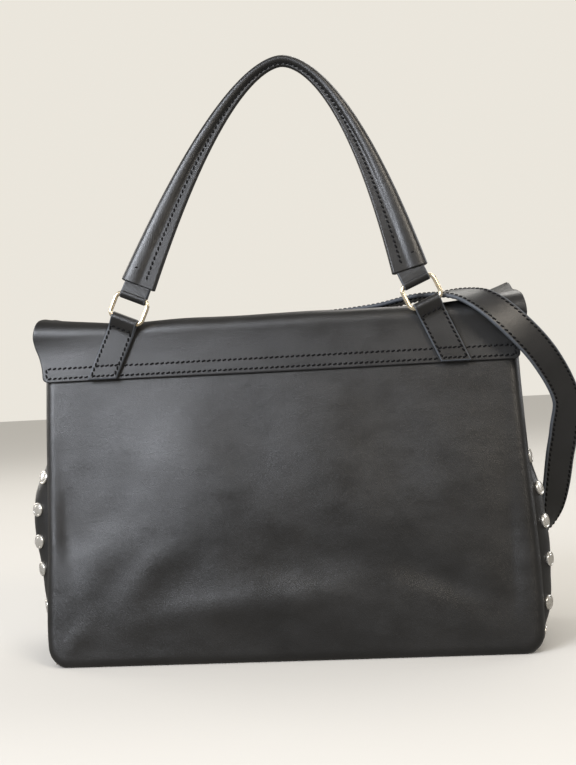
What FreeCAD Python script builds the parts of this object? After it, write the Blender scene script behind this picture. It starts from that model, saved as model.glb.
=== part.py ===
import FreeCAD, Part
import math
import os
import re

import Sketcher

# A leather satchel with a back-mounted grab handle, a flap over the top and a shoulder strap.
# X runs across the width, -Y is the front, +Z is up. The origin is the middle of the underside.

V = FreeCAD.Vector
Place = FreeCAD.Placement
Turn = FreeCAD.Rotation

SIZES = {
    # the bag's body
    "base_half": 193,
    "rim_half": 189,
    "base_deep": 75,
    "rim_deep": 50,
    "rim_high": 258,
    "leather": 2.2,
    "corner_cut": 13,
    "base_half_deep": 72.3,
    "board_thick": 2.4,
    "lining_thick": 1,
    "lining_gap": 0.4,
    "gusset_swell": 14,
    "gusset_fold": 14,
    # the inner pocket
    "pocket_half": 110,
    "pocket_low": 70,
    "pocket_high": 200,
    "zip_half": 92,
    # the flap
    "flap_leather": 2.4,
    "flap_lining": 0.8,
    "flap_half": 193.5,
    "flap_level": 272,
    "seam_low": 228,
    "seam_high": 270,
    "seam_half": 189.6,
    "drop_low": 95,
    "drop_half": 189,
    "drop_round": 26,
    "drop_out": 2,
    # the turn lock
    "lock_high": 128,
    "slot_wide": 9,
    "slot_tall": 24,
    # the handle
    "tab_wide": 22,
    "tab_thick": 3,
    "tab_low": 231,
    "tab_high": 265,
    "tab_foot_out": 139.8,
    "tab_lean": 23.5,
    "wire": 3.6,
    "ring_wide": 31,
    "ring_tall": 24,
    "handle_rise": 176,
    "handle_shift": 14,
    "handle_end_wide": 29,
    "handle_roll": 9.8,
    # the shoulder strap
    "strap_wide": 25,
    "strap_thick": 3.5,
    "strap_ring_wide": 35,
    "strap_ring_tall": 20,
    "strap_ring_tilt": 12,
    "rivet_radius": 5.75,
    "rivet_pitch": 26,
    "rivet_first": 20,
}

doc = FreeCAD.newDocument("satchel")
sheet = doc.addObject("Spreadsheet::Sheet", "Sizes")
for row, (name, value) in enumerate(SIZES.items(), start=1):
    sheet.set(f"A{row}", name)
    sheet.set(f"B{row}", str(value))
    sheet.setAlias(f"B{row}", name)
doc.recompute()


def size(name):
    """A size read back from the sheet."""
    return float(sheet.get(name))


def formula(text):
    """The same formula with each of the sheet's names written in full."""
    known = lambda m: "Sizes." + m.group() if m.group() in SIZES else m.group()
    return re.sub(r"[a-z_]\w*", known, str(text))


def bind(thing, prop, text):
    thing.setExpression(prop, formula(text))


LEAN = math.degrees(math.atan((size("base_deep") - size("rim_deep")) / size("rim_high")))
UP = math.cos(math.radians(LEAN))
IN = math.sin(math.radians(LEAN))
NODES = []


def keep(thing, label):
    thing.Label = label
    NODES.append(thing)
    return thing


def body(label, place=None):
    """An empty sub-part, at its place in the bag."""
    made = keep(doc.addObject("PartDesign::Body", "Body"), label)
    if place is not None:
        made.Placement = place
    return made


def sketch(part, role, lift="0"):
    """An empty sketch on one of the sub-part's own planes, raised along the plane's normal."""
    drawn = part.newObject("Sketcher::SketchObject", "Sketch")
    plane = [p for p in part.Origin.OriginFeatures if p.Role == role][0]
    drawn.AttachmentSupport = [(plane, "")]
    drawn.MapMode = "FlatFace"
    bind(drawn, ".AttachmentOffset.Base.z", lift)
    return drawn


def outline(part, role, corners, lift="0"):
    """A closed outline of straight sides, each corner a pair of formulas."""
    drawn = sketch(part, role, lift)
    count = len(corners)
    spots = [V(math.cos(2 * math.pi * k / count), math.sin(2 * math.pi * k / count), 0) for k in range(count)]
    for k in range(count):
        drawn.addGeometry(Part.LineSegment(spots[k], spots[(k + 1) % count]), False)
    for k in range(count):
        drawn.addConstraint(Sketcher.Constraint("Coincident", k, 2, (k + 1) % count, 1))
    for k, (across, along) in enumerate(corners):
        for kind, at, text in (("DistanceX", spots[k].x, across), ("DistanceY", spots[k].y, along)):
            index = drawn.addConstraint(Sketcher.Constraint(kind, -1, 1, k, 1, at))
            bind(drawn, f"Constraints[{index}]", text)
    return drawn


def pad(part, drawn, length, both=False, back=False):
    made = part.newObject("PartDesign::Pad", "Pad")
    made.Profile = drawn
    bind(made, "Length", length)
    made.Midplane = both
    made.Reversed = back
    drawn.Visibility = False
    return made


def pocket(part, drawn):
    """A cut right through, both ways from the sketch."""
    made = part.newObject("PartDesign::Pocket", "Pocket")
    made.Profile = drawn
    made.Length = 40
    made.Midplane = True
    drawn.Visibility = False
    return made


def loft(part, drawings, cut=False):
    made = part.newObject("PartDesign::SubtractiveLoft" if cut else "PartDesign::AdditiveLoft", "Loft")
    made.Profile = drawings[0]
    made.Sections = drawings[1:]
    made.Ruled = True
    return made


def mirrored(corners):
    """Corners given for the +X half, closed with their mirror images."""
    return corners + [(f"-({across})", along) for across, along in reversed(corners)]


def plate(label, place, corners, thick, outward, role="XZ_Plane"):
    """A flat piece with an outline of straight sides. outward pads it along +Y."""
    part = body(label, place)
    pad(part, outline(part, role, corners), thick, back=outward)
    return part


def back_at(out=0.0, across=0.0, high=0.0):
    """A place on the leaning back panel: its outer face is y = 0, and +Y leads away from the bag."""
    turn = Turn(V(1, 0, 0), LEAN)
    return Place(V(0, size("base_deep"), 0) + turn.multVec(V(across, out, high)), turn)


def front_at(out=0.0, across=0.0, high=0.0):
    """The same on the front panel, where -Y leads away from the bag."""
    turn = Turn(V(1, 0, 0), -LEAN)
    return Place(V(0, -size("base_deep"), 0) + turn.multVec(V(across, -out, high)), turn)


# ---------------------------------------------------------------- panels, gussets and lining

def panel_corners():
    cut = "corner_cut"
    return mirrored([
        (f"base_half - {cut}", "0.5"),
        (f"base_half - {cut} * 0.3", f"0.5 + {cut} * 0.3"),
        ("base_half", f"0.5 + {cut}"),
        ("rim_half", f"rim_high / {UP:.5f}"),
    ])


plate("back_panel", back_at(), panel_corners(), "leather", outward=False)
plate("front_panel", front_at(), panel_corners(), "leather", outward=True)

# How far the gusset swells out near its edges and folds in at its middle, as shares, up the side.
GUSSET_STATIONS = [(2.6, 0.3, 0.0), (40, 1.0, 0.2), (120, 1.0, 0.3), (190, 0.2, 0.45), (256, 0.0, 1.0)]


def side_half(high, inset):
    """Half the body's width at a height, less an inset."""
    return f"base_half - (base_half - rim_half) * {high} / rim_high - {inset}"


def side_deep(high, inset):
    """Half the body's depth at a height, inside both panels."""
    return f"base_deep - (base_deep - rim_deep) * {high} / rim_high - leather - 0.2 - {inset}"


def gusset_line(high, swell, fold, inset):
    """The gusset's cross-section from the back edge to the front edge at +X."""
    half = side_half(high, inset)
    deep = side_deep(high, f"{inset} * 0.4")
    swell = f"gusset_swell * {swell}"
    fold = f"gusset_fold * {fold}"
    rear = [
        (f"{half}", f"{deep}"),
        (f"{half} + 0.55 * {swell}", f"({deep}) * 0.8"),
        (f"{half} + 0.8 * {swell}", f"({deep}) * 0.55"),
        (f"{half} + 0.3 * {swell} - 0.4 * {fold}", f"({deep}) * 0.25"),
    ]
    middle = [(f"{half} - {fold}", "0")]
    return rear + middle + [(across, f"-({deep_at})") for across, deep_at in reversed(rear)]


def flipped(corners, side):
    return [(f"{side} * ({across})", along) for across, along in corners]


for side, name in ((1, "left"), (-1, "right")):
    gusset = body(f"gusset_{name}")
    rows = []
    for high, swell, fold in GUSSET_STATIONS:
        outer = gusset_line(high, swell, fold, "0")
        inner = gusset_line(high, swell, fold, "leather")
        rows.append(outline(gusset, "XY_Plane", flipped(outer + inner[::-1], side), lift=high))
    loft(gusset, rows)

base = body("base_panel")
pad(base, outline(base, "XY_Plane", mirrored([
    ("base_half - 12", "-base_half_deep"),
    ("base_half - 1", "-base_half_deep + 12"),
    ("base_half + 2", "-base_half_deep * 0.45"),
    ("base_half + 2", "base_half_deep * 0.45"),
    ("base_half - 1", "base_half_deep - 12"),
    ("base_half - 12", "base_half_deep"),
])), "leather")

board = body("base_board")
pad(board, outline(board, "XY_Plane", mirrored([
    ("base_half - 6", "-base_half_deep + 3"),
    ("base_half - 6", "base_half_deep - 3"),
]), lift="leather + 0.2"), "board_thick")


def lining_row(part, high, swell, fold, inset):
    right = gusset_line(high, swell, fold, inset)
    left = [(f"-({across})", along) for across, along in reversed(right)]
    return outline(part, "XY_Plane", right + left, lift=high)


lining = body("lining")
outside = "(leather + lining_gap)"
inside = "(leather + lining_gap + lining_thick)"
floor = (5.2, 0.3, 0.0)
rim = (254, 0.0, 1.0)
between = GUSSET_STATIONS[1:-1]
loft(lining, [lining_row(lining, *row, outside) for row in [floor, *between, rim]])
loft(lining, [lining_row(lining, *row, inside) for row in [(6.2, 0.3, 0.0), *between, (255, 0.0, 1.0)]], cut=True)

# ---------------------------------------------------------------- inner pocket

plate("pocket_panel", back_at(out=-4.8), mirrored([
    ("pocket_half - 8", "pocket_low"),
    ("pocket_half", "pocket_low + 8"),
    ("pocket_half", "pocket_high"),
]), "1", outward=False)
plate("zip_tape", back_at(out=-6.0), mirrored([
    ("zip_half", "pocket_high - 20"),
    ("zip_half", "pocket_high - 4"),
]), "0.7", outward=False)
plate("zip_teeth", back_at(out=-6.8), mirrored([
    ("zip_half - 3", "pocket_high - 14.2"),
    ("zip_half - 3", "pocket_high - 9.8"),
]), "1.2", outward=False)
plate("zip_slider", back_at(out=-8.4, across=-80), mirrored([
    ("2.5", "pocket_high - 17"),
    ("4.2", "pocket_high - 12"),
    ("3.4", "pocket_high - 8"),
]), "2", outward=False)
plate("zip_pull", back_at(out=-10.7, across=-80), mirrored([
    ("2.2", "pocket_high - 40"),
    ("3.4", "pocket_high - 36"),
    ("2.0", "pocket_high - 12"),
]), "1.2", outward=False)

# ---------------------------------------------------------------- flap

plate("flap_seam_band", back_at(out=0.2), mirrored([
    ("seam_half - 4", "seam_low"),
    ("seam_half", "seam_low + 4"),
    ("seam_half + 2", "seam_high"),
]), "flap_leather", outward=True)

BACK_FOLD_Y = size("base_deep") + (0.2 + size("flap_leather")) * UP - size("flap_level") / UP * IN
FRONT_FOLD_Y = -size("base_deep") - (size("drop_out") + size("flap_leather")) * UP + size("flap_level") / UP * IN
FLAP_AT = Place(V(0, 0, size("flap_level")), Turn())

flap_top = body("flap_top", FLAP_AT)
pad(flap_top, outline(flap_top, "XY_Plane", mirrored([
    ("flap_half - 4", f"{FRONT_FOLD_Y + 0.3:.3f}"),
    ("flap_half", "0"),
    ("flap_half - 3", f"{BACK_FOLD_Y - 0.3:.3f}"),
])), "flap_leather", back=True)
top_lining = body("flap_top_lining", FLAP_AT)
pad(top_lining, outline(top_lining, "XY_Plane", mirrored([
    ("flap_half - 7", f"{FRONT_FOLD_Y + 5:.3f}"),
    ("flap_half - 5", f"{BACK_FOLD_Y - 4:.3f}"),
]), lift="-(flap_leather + 0.2)"), "flap_lining", back=True)


def drop_corners(inset, top):
    return mirrored([
        (f"drop_half - drop_round - {inset}", f"drop_low + {inset}"),
        (f"drop_half - drop_round * 0.3 - {inset}", f"drop_low + drop_round * 0.3 + {inset}"),
        (f"drop_half - {inset}", f"drop_low + drop_round + {inset}"),
        (f"drop_half - {inset}", top),
    ])


SLOT = mirrored([
    ("slot_wide / 2", "lock_high - slot_tall / 2"),
    ("slot_wide / 2", "lock_high + slot_tall / 2"),
])
for label, out, thick, inset, top in (
    ("flap_front", size("drop_out"), "flap_leather", 0, "seam_high"),
    ("flap_front_lining", 1.0, "flap_lining", 2, "seam_high - 7"),
):
    drop = body(label, front_at(out=out))
    pad(drop, outline(drop, "XZ_Plane", drop_corners(inset, top)), thick)
    pocket(drop, outline(drop, "XZ_Plane", SLOT))

# ---------------------------------------------------------------- turn lock


def oval(wide, tall):
    """A rounded plate outline about the lock's middle."""
    return mirrored([
        (f"{wide} * 0.22", f"lock_high - {tall}"),
        (f"{wide} * 0.7", f"lock_high - {tall} * 0.72"),
        (f"{wide}", f"lock_high - {tall} * 0.25"),
        (f"{wide}", f"lock_high + {tall} * 0.25"),
        (f"{wide} * 0.7", f"lock_high + {tall} * 0.72"),
        (f"{wide} * 0.22", f"lock_high + {tall}"),
    ])


lock_plate = body("lock_plate", front_at(out=0.1))
pad(lock_plate, outline(lock_plate, "XZ_Plane", oval(3.9, 3.9)), "6.4")
pad(lock_plate, outline(lock_plate, "XZ_Plane", oval(13, 19)), "0.7")
plate("lock_backing", front_at(out=-(size("leather") + 0.3)), oval(10, 15), "0.6", outward=True)

knob = body("lock_knob", front_at(out=6.7))
pad(knob, outline(knob, "XZ_Plane", oval(2.6, 8.5)), "3.6")

eyelet = body("lock_eyelet", front_at(out=size("drop_out") + size("flap_leather") + 0.1))
pad(eyelet, outline(eyelet, "XZ_Plane", oval(15, 20)), "1.3")
pocket(eyelet, outline(eyelet, "XZ_Plane", SLOT))

# ---------------------------------------------------------------- round and looped pieces


def solid(kind, label, place=None, **sizes):
    made = doc.addObject(f"Part::{kind}", kind)
    made.Label = label
    for prop, text in sizes.items():
        bind(made, prop, text)
    if place is not None:
        made.Placement = place
    return made


def joined(label, pieces, place=None):
    """Several solids as one sub-part: touching ones fuse, and the others stay a group."""
    made = keep(doc.addObject("Part::MultiFuse", "Fuse"), label)
    made.Shapes = pieces
    if place is not None:
        made.Placement = place
    return made


def rivet(label, place, radius, high):
    """A flat-topped rivet cap, standing on its local z = 0."""
    rim_part = solid("Cylinder", f"{label} rim", place, Radius=radius, Height=f"{high} * 0.6")
    crown = solid("Cone", f"{label} crown", place.multiply(Place(V(0, 0, high * 0.6), Turn())),
                  Radius1=radius, Radius2=f"{radius} * 0.8", Height=f"{high} * 0.4")
    return [rim_part, crown]


def rivet_group(label, places, radius, high):
    caps = []
    for k, place in enumerate(places):
        caps += rivet(f"{label} cap {k}", place, radius, high)
    return joined(label, caps)


for side, name in ((1, "left"), (-1, "right")):
    places = []
    for k in range(6):
        high = size("rivet_first") + k * size("rivet_pitch")
        deep = size("base_deep") - (size("base_deep") - size("rim_deep")) * high / size("rim_high") - 2.4
        half = size("base_half") - (size("base_half") - size("rim_half")) * high / size("rim_high")
        lower, upper = [r for r in zip(GUSSET_STATIONS, GUSSET_STATIONS[1:]) if r[0][0] <= high <= r[1][0]][0]
        share = (high - lower[0]) / (upper[0] - lower[0])
        swell = size("gusset_swell") * (lower[1] + share * (upper[1] - lower[1]))
        slope = math.atan2(0.55 * swell, 0.2 * deep)
        for rear in (1, -1):
            normal = V(side * math.cos(slope), rear * math.sin(slope), 0)
            spot = V(side * (half + 0.275 * swell), rear * deep * 0.9, high) + normal * 0.7
            places.append(Place(spot, Turn(V(0, 0, 1), normal)))
    rivet_group(f"gusset_rivets_{name}", places, "rivet_radius", 2.2)

rivet_group("eyelet_rivets", [
    front_at(out=size("drop_out") + size("flap_leather") + 1.5, high=size("lock_high") + dz).multiply(
        Place(V(0, 0, 0), Turn(V(0, 0, 1), V(0, -1, 0))))
    for dz in (-15.6, 15.6)
], "1.9", 0.9)


def loop(label, place, wide, wall, stem, thick, shift, keep_stem=0.0):
    """A leather strip folded round a wire lying along X at the origin, with its tail leading down.

    shift moves the tail off the wire's plane, along Y.
    """
    hole = "wire / 2 + 0.3"
    around = solid("Cylinder", f"{label} fold", Place(V(-wide / 2, 0, 0), Turn(V(0, 1, 0), 90)),
                   Radius=f"{hole} + {wall}", Height=wide)
    tail = solid("Box", f"{label} tail", Place(V(-wide / 2, shift - thick / 2, -stem), Turn()),
                 Length=wide, Width=thick, Height=stem - keep_stem)
    blank = doc.addObject("Part::MultiFuse", "Blank")
    blank.Shapes = [around, tail]
    wire_way = solid("Cylinder", f"{label} wire way", Place(V(-wide, 0, 0), Turn(V(0, 1, 0), 90)),
                     Radius=hole, Height=2 * wide)
    made = keep(doc.addObject("Part::Cut", "Cut"), label)
    made.Base = blank
    made.Tool = wire_way
    made.Placement = place
    return made


def wire_ring(label, place, wide, tall, corner=2.6):
    """A rounded rectangular ring of round wire in its own XZ plane, centred on the origin."""
    across = size(wide) / 2 - size("wire") / 2
    along = size(tall) / 2 - size("wire") / 2
    pieces = []
    for way in (1, -1):
        pieces.append(solid("Cylinder", f"{label} bar", Place(V(corner - across, 0, way * along), Turn(V(0, 1, 0), 90)),
                            Radius="wire / 2", Height=2 * (across - corner)))
        pieces.append(solid("Cylinder", f"{label} side", Place(V(way * across, 0, corner - along), Turn()),
                            Radius="wire / 2", Height=2 * (along - corner)))
    for quarter in range(4):
        at = V((across - corner) * (1 if quarter in (0, 3) else -1), 0, (along - corner) * (1 if quarter < 2 else -1))
        turn = Turn(V(0, 1, 0), -90 * quarter).multiply(Turn(V(1, 0, 0), 90))
        bend = solid("Torus", f"{label} bend", Place(at, turn), Radius1=corner, Radius2="wire / 2")
        bend.Angle3 = 90
        pieces.append(bend)
    return joined(label, pieces, place)


# ---------------------------------------------------------------- handle

for side, name in ((1, "left"), (-1, "right")):
    lean = "tan(tab_lean)"
    shift = f"(tab_high - tab_low) * {lean}"
    plate(f"handle_tab_{name}", back_at(out=0.4 + size("flap_leather")), flipped([
        ("tab_foot_out - tab_wide * 0.55", "tab_low"),
        ("tab_foot_out + tab_wide * 0.55", "tab_low"),
        (f"tab_foot_out + tab_wide * 0.55 - {shift}", "tab_high"),
        (f"tab_foot_out - tab_wide * 0.55 - {shift}", "tab_high"),
    ], side), "tab_thick", outward=True)

HANDLE_OUT = 0.4 + size("flap_leather") + size("tab_thick")
HANDLE_AT = back_at(out=HANDLE_OUT, high=size("tab_high") + 0.2)
MIDDLE = 1.2
LEAN_SIN = math.sin(math.radians(size("tab_lean")))
LEAN_COS = math.cos(math.radians(size("tab_lean")))
RING_HALF = size("ring_tall") / 2 - size("wire") / 2
TAB_TOP_OUT = size("tab_foot_out") - (size("tab_high") - size("tab_low")) * LEAN_SIN / LEAN_COS
BAR_UP = 9.1


def handle_spot(along):
    """A point along the tab's leaning line, measured from the ring's lower bar."""
    out = TAB_TOP_OUT - BAR_UP * LEAN_SIN / LEAN_COS - along * LEAN_SIN
    return out, BAR_UP + along * LEAN_COS


def handle_place(side, along, flip=False):
    out, high = handle_spot(along)
    turn = Turn(V(0, 1, 0), -side * size("tab_lean"))
    if flip:
        turn = turn.multiply(Turn(V(0, 1, 0), 180))
    return HANDLE_AT.multiply(Place(V(side * out, MIDDLE, high), turn))


for side, name in ((1, "left"), (-1, "right")):
    wide = size("tab_wide")
    loop(f"ring_loop_{name}", handle_place(side, 0), wide, 2.1, 4.3, 3.6, -1.0)
    wire_ring(f"handle_ring_{name}", handle_place(side, RING_HALF), "ring_wide", "ring_tall")
    loop(f"handle_chape_{name}", handle_place(side, 2 * RING_HALF, flip=True), wide, 2.1, 9.8, 4.2, 0.0)

END_OUT, END_UP = handle_spot(2 * RING_HALF + 11.8)


def handle_section(along, trim):
    """An oval across the handle, where along runs from -1 at the right end to 1 at the left."""
    part = abs(along)
    across = END_OUT * along - size("handle_shift") * (1 - along * along)
    high = END_UP + size("handle_rise") * (1 - part ** 1.78)
    slope_x = END_OUT + 2 * size("handle_shift") * along
    slope_z = -size("handle_rise") * 1.78 * part ** 0.78 * math.copysign(1, along) if part > 1e-6 else 0.0
    ahead = V(slope_x, 0, slope_z).normalize()
    wide = size("handle_roll") + (size("handle_end_wide") - size("handle_roll")) * part ** 2.2
    deep = 11.5 - 2.8 * part * part
    turn = Turn(V(0, 1, 0).cross(ahead), V(0, 1, 0).cross(ahead).cross(ahead).negative(), ahead, "ZXY")
    edge = Part.Ellipse(V(0, 0, 0), wide / 2 - trim, min(deep, wide - 0.05) / 2 - trim).toShape()
    edge.Placement = HANDLE_AT.multiply(Place(V(across, MIDDLE, high), turn))
    return Part.Wire([edge])


def handle_solid(trim, first=0):
    steps = 24
    return Part.makeLoft([handle_section(2 * k / steps - 1, trim) for k in range(first, steps + 1 - first)], True, False)


cover = keep(doc.addObject("Part::Feature", "Cover"), "handle_cover")
cover.Shape = handle_solid(0).cut(handle_solid(1.9))
core = keep(doc.addObject("Part::Feature", "Core"), "handle_core")
core.Shape = handle_solid(2.8, 2)

# ---------------------------------------------------------------- shoulder strap

GUSSET_BAR_OUT = 198.3
GUSSET_BAR_UP = 40
TILT_SIN = math.sin(math.radians(size("strap_ring_tilt")))
TILT_COS = math.cos(math.radians(size("strap_ring_tilt")))
STRAP_HALF = size("strap_ring_tall") / 2 - size("wire") / 2


def side_place(side, along):
    """A place on the strap ring's plane: local X runs along Y, local Z points away from the tab's bar."""
    spot = V(side * (GUSSET_BAR_OUT + along * TILT_SIN), 0, GUSSET_BAR_UP + along * TILT_COS)
    ahead = V(side * TILT_SIN, 0, TILT_COS)
    across = V(0, 1, 0)
    return Place(spot, Turn(across, ahead.cross(across), ahead, "ZXY"))


for side, name in ((1, "left"), (-1, "right")):
    tab_place = Place(V(side * GUSSET_BAR_OUT, 0, GUSSET_BAR_UP), Turn(V(0, 0, 1), 90))
    loop(f"strap_tab_{name}", tab_place, 20, 2.1, 20, 2.6, side * 2.4)
    wire_ring(f"strap_ring_{name}", side_place(side, STRAP_HALF), "strap_ring_wide", "strap_ring_tall")
    end = side_place(side, 2 * STRAP_HALF).multiply(Place(V(0, 0, 0), Turn(V(0, 1, 0), 180)))
    loop(f"strap_end_{name}", end, size("strap_wide"), size("strap_thick"), 19, 7.2, 0.0)
    rivet_group(f"strap_rivet_{name}", [
        side_place(side, 2 * STRAP_HALF + 13).multiply(Place(V(0, way * 3.7, 0), Turn(V(0, 0, 1), V(0, way, 0))))
        for way in (1, -1)
    ], "3.5", 1.2)
    rivet_group(f"tab_rivets_{name}", [
        Place(V(side * (GUSSET_BAR_OUT - 2.4 + 1.45), dy, GUSSET_BAR_UP - 13.5), Turn(V(0, 0, 1), V(side, 0, 0)))
        for dy in (-5, 5)
    ], "3", 1.2)


def smooth(guide, count):
    """Evenly numbered points on a curve through the guide points, for spots and face directions alike."""
    ends = [guide[0]] + guide + [guide[-1]]
    found = []
    for k in range(count + 1):
        at = k * (len(guide) - 1) / count
        j = min(int(at), len(guide) - 2)
        t = at - j
        p = ends[j:j + 4]
        found.append([0.5 * (2 * b + (c - a) * t + (2 * a - 5 * b + 4 * c - d) * t * t + (3 * b - a - 3 * c + d) * t ** 3)
                      for a, b, c, d in zip(*p)])
    return found


def ribbon(label, guide, count):
    """A flat strip of leather along guide rows of a point and the direction its face points."""
    rows = smooth(guide, count)
    spots = [V(*row[:3]) for row in rows]
    wires = []
    for k, row in enumerate(rows):
        ahead = (spots[min(k + 1, count)] - spots[max(k - 1, 0)]).normalize()
        across = ahead.cross(V(*row[3:])).normalize() * (size("strap_wide") / 2)
        face = across.cross(ahead).normalize() * (size("strap_thick") / 2)
        corners = [spots[k] + across + face, spots[k] - across + face, spots[k] - across - face, spots[k] + across - face]
        wires.append(Part.makePolygon(corners + corners[:1]))
    made = keep(doc.addObject("Part::Feature", "Ribbon"), label)
    made.Shape = Part.makeLoft(wires, True, True)
    return made


RIGHT_END = side_place(-1, 2 * STRAP_HALF + 23).Base
LEFT_END = side_place(1, 2 * STRAP_HALF + 23).Base
TOP = size("flap_level") + size("strap_thick") / 2 + 0.3

# From low on the right gusset the strap rises in a slack bow, climbs over the back corner, crosses the
# flap, and comes down the left side to its ring. Each row is a point and the direction the leather faces there.
ribbon("shoulder_strap", [
    (*RIGHT_END, -0.98, 0, -0.2),
    (-208, 2, 92, -0.95, 0.3, -0.1),
    (-213, 6, 108, -0.8, 0.6, 0),
    (-219.5, 12, 126, -0.5, 0.87, 0),
    (-225.5, 20, 147, -0.33, 0.94, 0.05),
    (-228.5, 28, 168, -0.3, 0.94, 0.1),
    (-226, 40, 195, -0.3, 0.93, 0.2),
    (-210, 56, 226, -0.2, 0.95, 0.25),
    (-188, 65, 252, -0.1, 0.9, 0.4),
    (-165, 60, 273, 0, 0.7, 0.7),
    (-146, 45, 281, 0, 0.3, 0.95),
    (-118, 28, 281, 0, 0, 1),
    (-84, 12, TOP + 3, 0, 0, 1),
    (-45, -2, TOP + 0.4, 0, 0, 1),
    (0, -14, TOP, 0, 0, 1),
    (50, -23, TOP, 0, 0, 1),
    (100, -30, TOP, 0, 0, 1),
    (150, -35, TOP, 0, 0, 1),
    (178, -37, TOP + 2.5, 0.2, 0, 1),
    (196, -39, 274, 0.7, 0, 0.7),
    (203, -41, 256, 1, 0, 0.15),
    (201, -39, 225, 1, 0, 0),
    (200, -34, 190, 1, 0, 0),
    (204, -26, 150, 1, 0, 0),
    (207, -12, 116, 1, 0, -0.05),
    (208, -2, 94, 1, 0, -0.15),
    (*LEFT_END, 0.98, 0, -0.2),
], 116)

doc.recompute()

# ---------------------------------------------------------------- write each sub-part

os.makedirs("parts", exist_ok=True)
for thing in doc.Objects:
    if "Invalid" in thing.State or "Error" in thing.State:
        raise RuntimeError(f"{thing.Label} is broken: {thing.State}")
for thing in NODES:
    if thing.Shape.isNull() or not thing.Shape.isValid() or thing.Shape.Volume <= 0:
        raise RuntimeError(f"{thing.Label} has no valid shape")
    thing.Shape.exportStep(f"parts/{thing.Label}.step")
    box = thing.Shape.BoundBox
    print(f"{thing.Label:24s} {len(thing.Shape.Solids)} solids {thing.Shape.Volume / 1000:8.2f} cm3",
          [round(v, 1) for v in (box.XMin, box.XMax, box.YMin, box.YMax, box.ZMin, box.ZMax)])
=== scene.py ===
from math import atan, cos, pi, radians, sin, tan

import bpy
import numpy as np
from mathutils import Matrix, Vector, noise


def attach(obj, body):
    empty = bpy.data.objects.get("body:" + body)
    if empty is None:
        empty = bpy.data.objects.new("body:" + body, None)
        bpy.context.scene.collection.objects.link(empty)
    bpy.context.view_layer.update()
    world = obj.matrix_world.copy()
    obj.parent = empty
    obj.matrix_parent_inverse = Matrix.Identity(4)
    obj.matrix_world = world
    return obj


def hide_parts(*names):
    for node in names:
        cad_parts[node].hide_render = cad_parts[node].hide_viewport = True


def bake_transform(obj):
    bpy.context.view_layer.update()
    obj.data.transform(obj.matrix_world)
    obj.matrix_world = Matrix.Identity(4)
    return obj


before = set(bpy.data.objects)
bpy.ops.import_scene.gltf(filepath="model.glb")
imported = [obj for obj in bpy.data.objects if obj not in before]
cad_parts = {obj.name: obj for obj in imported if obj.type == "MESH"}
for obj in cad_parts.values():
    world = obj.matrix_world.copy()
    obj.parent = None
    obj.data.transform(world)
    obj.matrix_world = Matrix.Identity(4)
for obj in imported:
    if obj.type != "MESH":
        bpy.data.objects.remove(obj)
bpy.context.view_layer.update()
scene = bpy.context.scene

# Lengths are in millimetres up to the moment a mesh is made, and in metres from there on.
MM = 0.001

TARGET = Vector((-0.0098, 0.075, 0.2172))
DISTANCE, LENS = 0.897, 54.4
AROUND, TIPPED = radians(5), radians(-2.96)
camera = bpy.data.objects.new("camera", bpy.data.cameras.new("camera"))
scene.collection.objects.link(camera)
camera.data.lens = LENS
camera.location = TARGET + Vector((-sin(AROUND), cos(AROUND), 0)) * DISTANCE
aimed = (TARGET - camera.location).to_track_quat("-Z", "Y").to_matrix()
camera.rotation_euler = (aimed @ Matrix.Rotation(TIPPED, 3, "Z")).to_euler()
scene.camera = camera

# ---- materials


class Shader:
    """A material's node tree, built up one node at a time."""

    def __init__(self, name, roughness=0.5, metallic=0.0, **values):
        self.made = bpy.data.materials.new(name)
        self.made.use_nodes = True
        self.tree = self.made.node_tree
        self.surface = self.tree.nodes["Principled BSDF"]
        self.surface.inputs["Roughness"].default_value = roughness
        self.surface.inputs["Metallic"].default_value = metallic
        for key, value in values.items():
            self.surface.inputs[key.replace("_", " ")].default_value = value

    def node(self, kind, sockets=(), **settings):
        made = self.tree.nodes.new("ShaderNode" + kind)
        for key, value in settings.items():
            setattr(made, key, value)
        for key, value in dict(sockets).items():
            if isinstance(value, bpy.types.NodeSocket):
                self.tree.links.new(value, made.inputs[key])
            else:
                made.inputs[key].default_value = value
        return made

    def link(self, socket, name):
        self.tree.links.new(socket, self.surface.inputs[name])

    def place(self, stretch=(1, 1, 1), source="UV"):
        """Where a point is on its leather, in metres, stretched as asked."""
        at = self.node("TexCoord").outputs[source]
        return self.node("Mapping", {"Vector": at, "Scale": stretch}).outputs["Vector"]

    def cloud(self, size, stretch=(1, 1, 1), detail=2.0, source="UV", **more):
        """Soft noise whose blotches are about size metres wide."""
        sockets = {"Vector": self.place(stretch, source), "Scale": 1 / size, "Detail": detail, **more}
        return self.node("TexNoise", sockets).outputs["Fac"]

    def tint(self, value, dark, light, start=0.3, end=0.7):
        """A base colour that goes from dark to light as value goes from start to end."""
        ramp = self.node("ValToRGB", {"Fac": value})
        for mark, at, colour in zip(ramp.color_ramp.elements, (start, end), (dark, light)):
            mark.position = at
            mark.color = (*colour, 1)
        self.link(ramp.outputs["Color"], "Base Color")

    def between(self, value, low, high, start=0.3, end=0.7):
        """A number that goes from low to high as value goes from start to end."""
        sockets = {"Value": value, "From Min": start, "From Max": end, "To Min": low, "To Max": high}
        return self.node("MapRange", sockets).outputs["Result"]

    def bumps(self, *layers):
        """Bump nodes in a row, each (height, strength, distance in metres)."""
        last = None
        for height, strength, distance in layers:
            sockets = {"Height": height, "Strength": strength, "Distance": distance}
            if last:
                sockets["Normal"] = last
            last = self.node("Bump", sockets).outputs["Normal"]
        self.link(last, "Normal")


def shade(tone, share):
    return tuple(v * share for v in tone)


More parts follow.
